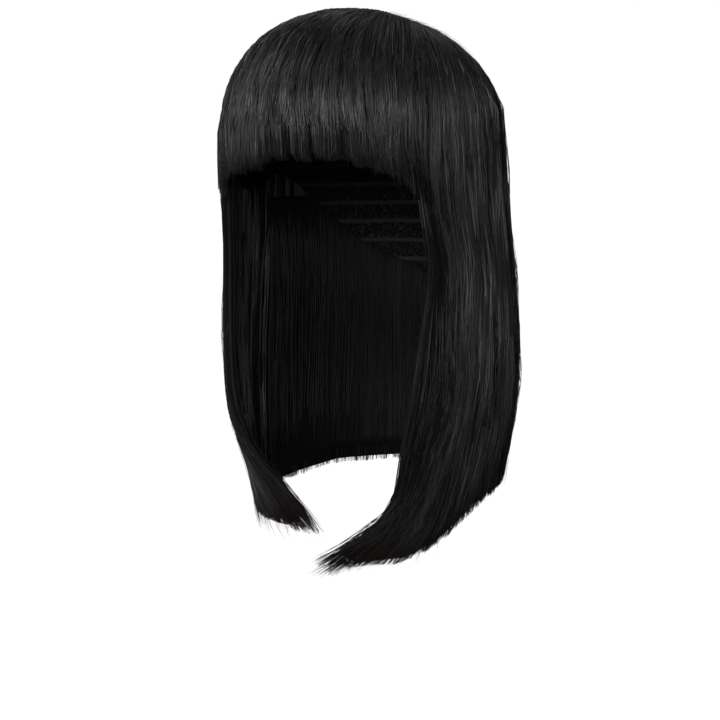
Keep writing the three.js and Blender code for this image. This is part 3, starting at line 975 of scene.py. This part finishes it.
def shell_material():
    """The dark body of hair below the strands, with fine streaks down it."""
    colours = bpy.context.scene.wig_colours
    tree, shader = new_material("hair_shell")
    place = tree.nodes.new("ShaderNodeCombineXYZ")
    tree.links.new(attribute(tree, "across"), place.inputs["X"])
    tree.links.new(map_range(tree, attribute(tree, "along"), 0, 2, 0, 6), place.inputs["Y"])
    noise = tree.nodes.new("ShaderNodeTexNoise")
    noise.inputs["Scale"].default_value = 3.0
    noise.inputs["Detail"].default_value = 6.0
    tree.links.new(place.outputs["Vector"], noise.inputs["Vector"])
    streak = noise.outputs["Fac"]
    body = ramp(tree, streak, [(0.35, colours.hair_dark), (0.7, colours.hair_mid)])
    tree.links.new(body, shader.inputs["Base Color"])
    bump = tree.nodes.new("ShaderNodeBump")
    bump.inputs["Strength"].default_value = 0.6
    bump.inputs["Distance"].default_value = 0.0006
    tree.links.new(streak, bump.inputs["Height"])
    tree.links.new(bump.outputs["Normal"], shader.inputs["Normal"])
    shader.inputs["Roughness"].default_value = 0.6
    shader.inputs["Specular IOR Level"].default_value = 0.06


def net_material():
    """Matt stretch net with its mesh of threads and its sewn rows."""
    colours = bpy.context.scene.wig_colours
    tree, shader = new_material("net_cloth")
    place = tree.nodes.new("ShaderNodeTexCoord").outputs["Object"]
    mesh = tree.nodes.new("ShaderNodeTexVoronoi")
    mesh.feature = "DISTANCE_TO_EDGE"
    mesh.inputs["Scale"].default_value = NET_MESHES
    tree.links.new(place, mesh.inputs["Vector"])
    rows = tree.nodes.new("ShaderNodeTexWave")
    rows.bands_direction = "Z"
    rows.inputs["Scale"].default_value = NET_ROWS
    rows.inputs["Distortion"].default_value = 0.6
    tree.links.new(place, rows.inputs["Vector"])
    seam = map_range(tree, rows.outputs["Fac"], 0.82, 0.95, 0.0, 1.0)
    thread = map_range(tree, mesh.outputs["Distance"], 0.0, 0.18, 1.0, 0.0)
    net = mix_colours(tree, thread, tuple(colours.net_dark), tuple(colours.net_light))
    tree.links.new(mix_colours(tree, seam, net, tuple(colours.net_light)), shader.inputs["Base Color"])
    bump = tree.nodes.new("ShaderNodeBump")
    bump.inputs["Strength"].default_value = 0.8
    bump.inputs["Distance"].default_value = 0.0008
    height = tree.nodes.new("ShaderNodeMath")
    height.operation = "MAXIMUM"
    tree.links.new(seam, height.inputs[0])
    tree.links.new(thread, height.inputs[1])
    tree.links.new(height.outputs["Value"], bump.inputs["Height"])
    tree.links.new(bump.outputs["Normal"], shader.inputs["Normal"])
    shader.inputs["Roughness"].default_value = 0.9
    shader.inputs["Specular IOR Level"].default_value = 0.0


# Stage


def view_axes(azimuth, elevation):
    """The camera's right, its up and the direction from the wig to it."""
    right = Vector((math.cos(azimuth), math.sin(azimuth), 0))
    toward = Vector(
        (
            math.sin(azimuth) * math.cos(elevation),
            -math.cos(azimuth) * math.cos(elevation),
            math.sin(elevation),
        )
    )
    return right, toward.cross(right), toward


def aim(thing, place, target):
    """Puts a light or camera at a place and turns it to a target."""
    thing.location = place
    thing.rotation_euler = (target - place).to_track_quat("-Z", "Y").to_euler()


def make_floor():
    """A plain pale floor, well below the wig, which is held up by its mount."""
    drop = CAD_BOX[0].z - bpy.context.scene.wig_stage.floor_drop
    corners = [(-1, -1), (1, -1), (1, 1), (-1, 1)]
    mesh = bpy.data.meshes.new("floor")
    mesh.from_pydata([(x * FLOOR_REACH, y * FLOOR_REACH, drop) for x, y in corners], [], [(0, 1, 2, 3)])
    floor = bpy.data.objects.new("floor", mesh)
    bpy.context.scene.collection.objects.link(floor)
    tree, shader = new_material("floor_white")
    shader.inputs["Base Color"].default_value = (0.93, 0.93, 0.93, 1)
    shader.inputs["Roughness"].default_value = 0.9
    shader.inputs["Specular IOR Level"].default_value = 0.1
    shader.inputs["Emission Color"].default_value = (1, 1, 1, 1)
    shader.inputs["Emission Strength"].default_value = FLOOR_GLOW
    mesh.materials.append(bpy.data.materials["floor_white"])
    floor.visible_diffuse = False
    floor.visible_glossy = False


def area_light(name, azimuth, elevation, distance, width, height, power):
    """A soft light that faces the wig from a direction given in degrees."""
    light = bpy.data.lights.new(name, "AREA")
    light.shape = "RECTANGLE"
    light.size = width
    light.size_y = height
    light.energy = power
    lamp = bpy.data.objects.new(name, light)
    bpy.context.scene.collection.objects.link(lamp)
    toward = view_axes(math.radians(azimuth), math.radians(elevation))[2]
    aim(lamp, LIT_POINT + toward * distance, LIT_POINT)
    lamp.visible_camera = False


def make_lights():
    """A wide key light in front and a little above, and weaker soft lights round the wig."""
    stage = bpy.context.scene.wig_stage
    for name, place in LIGHTS.items():
        area_light(name + "_light", power=getattr(stage, name + "_power"), **place)


def make_world():
    """A white backdrop all round, whose light on the wig is a soft share of what the camera sees."""
    world = bpy.data.worlds.new("studio")
    bpy.context.scene.world = world
    world.use_nodes = True
    tree = world.node_tree
    backdrop = tree.nodes["Background"]
    backdrop.inputs["Color"].default_value = (1, 1, 1, 1)
    soft = tree.nodes.new("ShaderNodeBackground")
    soft.inputs["Color"].default_value = (1, 1, 1, 1)
    soft.inputs["Strength"].default_value = bpy.context.scene.wig_stage.sky
    path = tree.nodes.new("ShaderNodeLightPath")
    mix = tree.nodes.new("ShaderNodeMixShader")
    tree.links.new(path.outputs["Is Camera Ray"], mix.inputs["Fac"])
    tree.links.new(soft.outputs["Background"], mix.inputs[1])
    tree.links.new(backdrop.outputs["Background"], mix.inputs[2])
    tree.links.new(mix.outputs["Shader"], tree.nodes["World Output"].inputs["Surface"])


def make_camera():
    """The camera at the photo's angle, far enough off to flatten the view as the photo's does."""
    stage = bpy.context.scene.wig_stage
    right, up, toward = view_axes(stage.azimuth, stage.elevation)
    middle = Vector((0, TOP_LEAD, 0))
    target = middle - right * VIEW_ASIDE - up * VIEW_DROP
    camera = bpy.data.cameras.new("camera")
    camera.sensor_width = 36
    camera.lens = camera.sensor_width * stage.distance / stage.frame_width
    camera.clip_end = 100
    holder = bpy.data.objects.new("camera", camera)
    bpy.context.scene.collection.objects.link(holder)
    aim(holder, target + toward * stage.distance, target)
    bpy.context.scene.camera = holder


# Settings


class WigHair(bpy.types.PropertyGroup):
    """The number of strands in each fall, and their width"""

    strand_width: FloatProperty(
        name="Strand width",
        description="Width of a drawn strand",
        default=0.5 * MM,
        unit="LENGTH",
        precision=5,
    )
    fringe_strands: IntProperty(name="Fringe", description="Strands in the fringe", default=2150, min=1)
    side_strands: IntProperty(name="Side", description="Strands in each side", default=1700, min=1)
    back_strands: IntProperty(name="Back", description="Strands at the back", default=1400, min=1)
    lock_strands: IntProperty(name="Front lock", description="Strands in each front lock", default=400, min=1)
    nape_strands: IntProperty(name="Nape", description="Strands in the nape layer", default=500, min=1)
    stray_strands: IntProperty(name="Stray", description="Fine strands that stand off", default=560, min=1)
    wisp_strands: IntProperty(name="Wisps", description="Loose hairs at each front tip", default=160, min=1)
    seed: IntProperty(name="Seed", description="Start of every random draw", default=7)


class WigColours(bpy.types.PropertyGroup):
    """The colours and gloss of the hair and the net"""

    hair_dark: FloatVectorProperty(
        name="Hair, dark", description="Darkest strands", subtype="COLOR", default=(0.0022, 0.0022, 0.0025)
    )
    hair_mid: FloatVectorProperty(
        name="Hair", description="Most strands", subtype="COLOR", default=(0.0045, 0.0044, 0.0046)
    )
    hair_light: FloatVectorProperty(
        name="Hair, light", description="Lightest strands", subtype="COLOR", default=(0.02, 0.0195, 0.0197)
    )
    # Painted highlight: the colour that the stray and crown hairs are lightened towards
    painted_highlight_colour: FloatVectorProperty(
        name="Strays", description="Lightest single hairs", subtype="COLOR", default=(0.11, 0.107, 0.105)
    )
    tip_warm: FloatVectorProperty(
        name="Tips", description="Brown of the thin tips", subtype="COLOR", default=(0.016, 0.010, 0.0075)
    )
    net_dark: FloatVectorProperty(
        name="Net", description="Between the net's threads", subtype="COLOR", default=(0.002, 0.002, 0.002)
    )
    net_light: FloatVectorProperty(
        name="Threads", description="Threads and sewn rows", subtype="COLOR", default=(0.012, 0.0117, 0.0117)
    )
    gloss: FloatProperty(name="Gloss", description="Specular level of a strand", default=0.5, min=0, max=1)
    # Painted shade: the lower specular level of the darker copy of the fibre
    painted_shade_gloss: FloatProperty(
        name="Shaded gloss", description="Specular level of strands under others", default=0.12, min=0, max=1
    )
    stray_gloss: FloatProperty(
        name="Stray gloss", description="Specular level of the strays", default=0.75, min=0, max=1
    )


class WigStage(bpy.types.PropertyGroup):
    """The camera, the floor and the lights"""

    azimuth: FloatProperty(
        name="Azimuth",
        description="Camera's angle round from the front",
        default=math.radians(30),
        subtype="ANGLE",
    )
    elevation: FloatProperty(
        name="Elevation", description="Camera's angle above level", default=math.radians(5), subtype="ANGLE"
    )
    distance: FloatProperty(name="Distance", description="Camera to wig", default=3.2, unit="LENGTH")
    frame_width: FloatProperty(
        name="Frame width", description="Width of the view at the wig", default=457.2 * MM, unit="LENGTH"
    )
    floor_drop: FloatProperty(
        name="Floor", description="From the longest tips down to the floor", default=0.2, unit="LENGTH"
    )
    key_power: FloatProperty(name="Key light", description="Wide front light", default=53.0, unit="POWER")
    top_power: FloatProperty(name="Top light", description="High front light", default=7.0, unit="POWER")
    back_power: FloatProperty(name="Back light", description="High back light", default=1.5, unit="POWER")
    side_power: FloatProperty(name="Side light", description="Side light", default=2.0, unit="POWER")
    low_power: FloatProperty(name="Low light", description="Level front light", default=5.0, unit="POWER")
    brow_power: FloatProperty(name="Brow light", description="Flat front light", default=7.0, unit="POWER")
    under_power: FloatProperty(name="Under light", description="Light below", default=1.2, unit="POWER")
    sky: FloatProperty(name="Sky", description="Strength of the light all round", default=0.2)


# Operators


class WIG_OT_materials(bpy.types.Operator):
    """Make the materials of the strands, the shells and the net"""

    bl_idname = "wig.materials"
    bl_label = "Materials"

    def execute(self, context):
        colours = context.scene.wig_colours
        strand_material("strand_fibre", colours.gloss, colours.hair_light)
        # A darker, duller copy of the fibre: painted shade
        strand_material("shaded_fibre", colours.painted_shade_gloss, colours.hair_mid)
        # A far lighter copy of the fibre for the strays and crown hairs: painted highlight
        strand_material("stray_fibre", colours.stray_gloss, colours.painted_highlight_colour)
        shell_material()
        net_material()
        return {"FINISHED"}


class WIG_OT_cap(bpy.types.Operator):
    """Finish the net cap"""

    bl_idname = "wig.cap"
    bl_label = "Cap"

    def execute(self, context):
        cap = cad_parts["wig_cap"]
        for material_slot in cap.material_slots:
            material_slot.material = bpy.data.materials["net_cloth"]
        return {"FINISHED"}


class WIG_OT_crown(bpy.types.Operator):
    """Make the swirl on the crown and its short hairs"""

    bl_idname = "wig.crown"
    bl_label = "Crown"

    def execute(self, context):
        make_crown_disc()
        make_crown_hairs()
        return {"FINISHED"}


class WIG_OT_fringe(bpy.types.Operator):
    """Make the fringe"""

    bl_idname = "wig.fringe"
    bl_label = "Fringe"

    def execute(self, context):
        count = context.scene.wig_hair.fringe_strands
        span = (-FRINGE_END, FRINGE_END)
        make_shell("fringe", span, fringe_end, TRIM["fringe"])
        make_strands("fringe_strands", span, fringe_end, count, FRINGE_LOOK, fringe_wall)
        return {"FINISHED"}


class WIG_OT_front_locks(bpy.types.Operator):
    """Make the thin locks beside the opening"""

    bl_idname = "wig.front_locks"
    bl_label = "Front locks"

    def execute(self, context):
        count = context.scene.wig_hair.lock_strands
        for hand, sign in HANDS.items():
            span = sorted((sign * FRINGE_END, sign * LOCK_END))
            name = hand + "_front_lock"
            make_shell(name, span, lock_end, TRIM["lock"], LOCK_SHARES, recessed)
            make_strands(name + "_strands", span, lock_end, count, LOCK_LOOK, recessed)
        return {"FINISHED"}


class WIG_OT_sides(bpy.types.Operator):
    """Make the long falls on the two sides"""

    bl_idname = "wig.sides"
    bl_label = "Sides"

    def execute(self, context):
        count = context.scene.wig_hair.side_strands
        for hand, sign in HANDS.items():
            span = sorted((sign * LOCK_END, sign * SIDE_END))
            make_shell(hand + "_side_hair", span, side_end, TRIM["side"])
            make_strands(hand + "_side_strands", span, side_end, count, FALL_LOOK)
        return {"FINISHED"}


class WIG_OT_back(bpy.types.Operator):
    """Make the fall at the back and the layer under it at the nape"""

    bl_idname = "wig.back"
    bl_label = "Back"

    def execute(self, context):
        hair = context.scene.wig_hair
        span = (SIDE_END, 360 - SIDE_END)
        make_shell("back_hair", span, side_end, TRIM["back"])
        make_strands("back_strands", span, side_end, hair.back_strands, FALL_LOOK)
        under = (NAPE_START, 360 - NAPE_START)
        start = 1 + UNDER_START
        make_shell("nape_hair", under, nape_end, TRIM["nape"], deep=under_wall, way_low=start)
        make_strands("nape_strands", under, nape_end, hair.nape_strands, NAPE_LOOK, under_wall, start)
        return {"FINISHED"}


class WIG_OT_strays(bpy.types.Operator):
    """Make the fine strands that stand off the rest, and the wisps beside the opening"""

    bl_idname = "wig.strays"
    bl_label = "Strays"

    def execute(self, context):
        make_strays()
        make_wisps()
        return {"FINISHED"}


class WIG_OT_stage(bpy.types.Operator):
    """Set the floor, the lights and the camera"""

    bl_idname = "wig.stage"
    bl_label = "Stage"

    def execute(self, context):
        make_floor()
        make_world()
        make_lights()
        make_camera()
        context.scene.view_settings.view_transform = "Standard"
        return {"FINISHED"}


STEPS = ("materials", "cap", "crown", "fringe", "front_locks", "sides", "back", "strays", "stage")


class WIG_PT_sidebar(bpy.types.Panel):
    """The wig's settings and steps in the 3D view's sidebar"""

    bl_idname = "WIG_PT_sidebar"
    bl_label = "Bob wig"
    bl_space_type = "VIEW_3D"
    bl_region_type = "UI"
    bl_category = "Bob wig"

    def draw(self, context):
        for group in (context.scene.wig_hair, context.scene.wig_colours, context.scene.wig_stage):
            box = self.layout.box()
            for name in group.__annotations__:
                box.prop(group, name)
        for step in STEPS:
            self.layout.operator("wig." + step)


CLASSES = (
    WigHair,
    WigColours,
    WigStage,
    WIG_OT_materials,
    WIG_OT_cap,
    WIG_OT_crown,
    WIG_OT_fringe,
    WIG_OT_front_locks,
    WIG_OT_sides,
    WIG_OT_back,
    WIG_OT_strays,
    WIG_OT_stage,
    WIG_PT_sidebar,
)


def register():
    """Registers the classes and gives the scene its settings."""
    for item in CLASSES:
        bpy.utils.register_class(item)
    bpy.types.Scene.wig_hair = PointerProperty(type=WigHair)
    bpy.types.Scene.wig_colours = PointerProperty(type=WigColours)
    bpy.types.Scene.wig_stage = PointerProperty(type=WigStage)


def unregister():
    """Takes the settings and the classes away again."""
    del bpy.types.Scene.wig_stage
    del bpy.types.Scene.wig_colours
    del bpy.types.Scene.wig_hair
    for item in reversed(CLASSES):
        bpy.utils.unregister_class(item)


def main():
    """Registers the add-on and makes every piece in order."""
    register()
    for step in STEPS:
        getattr(bpy.ops.wig, step)()


if __name__ == "__main__":
    main()
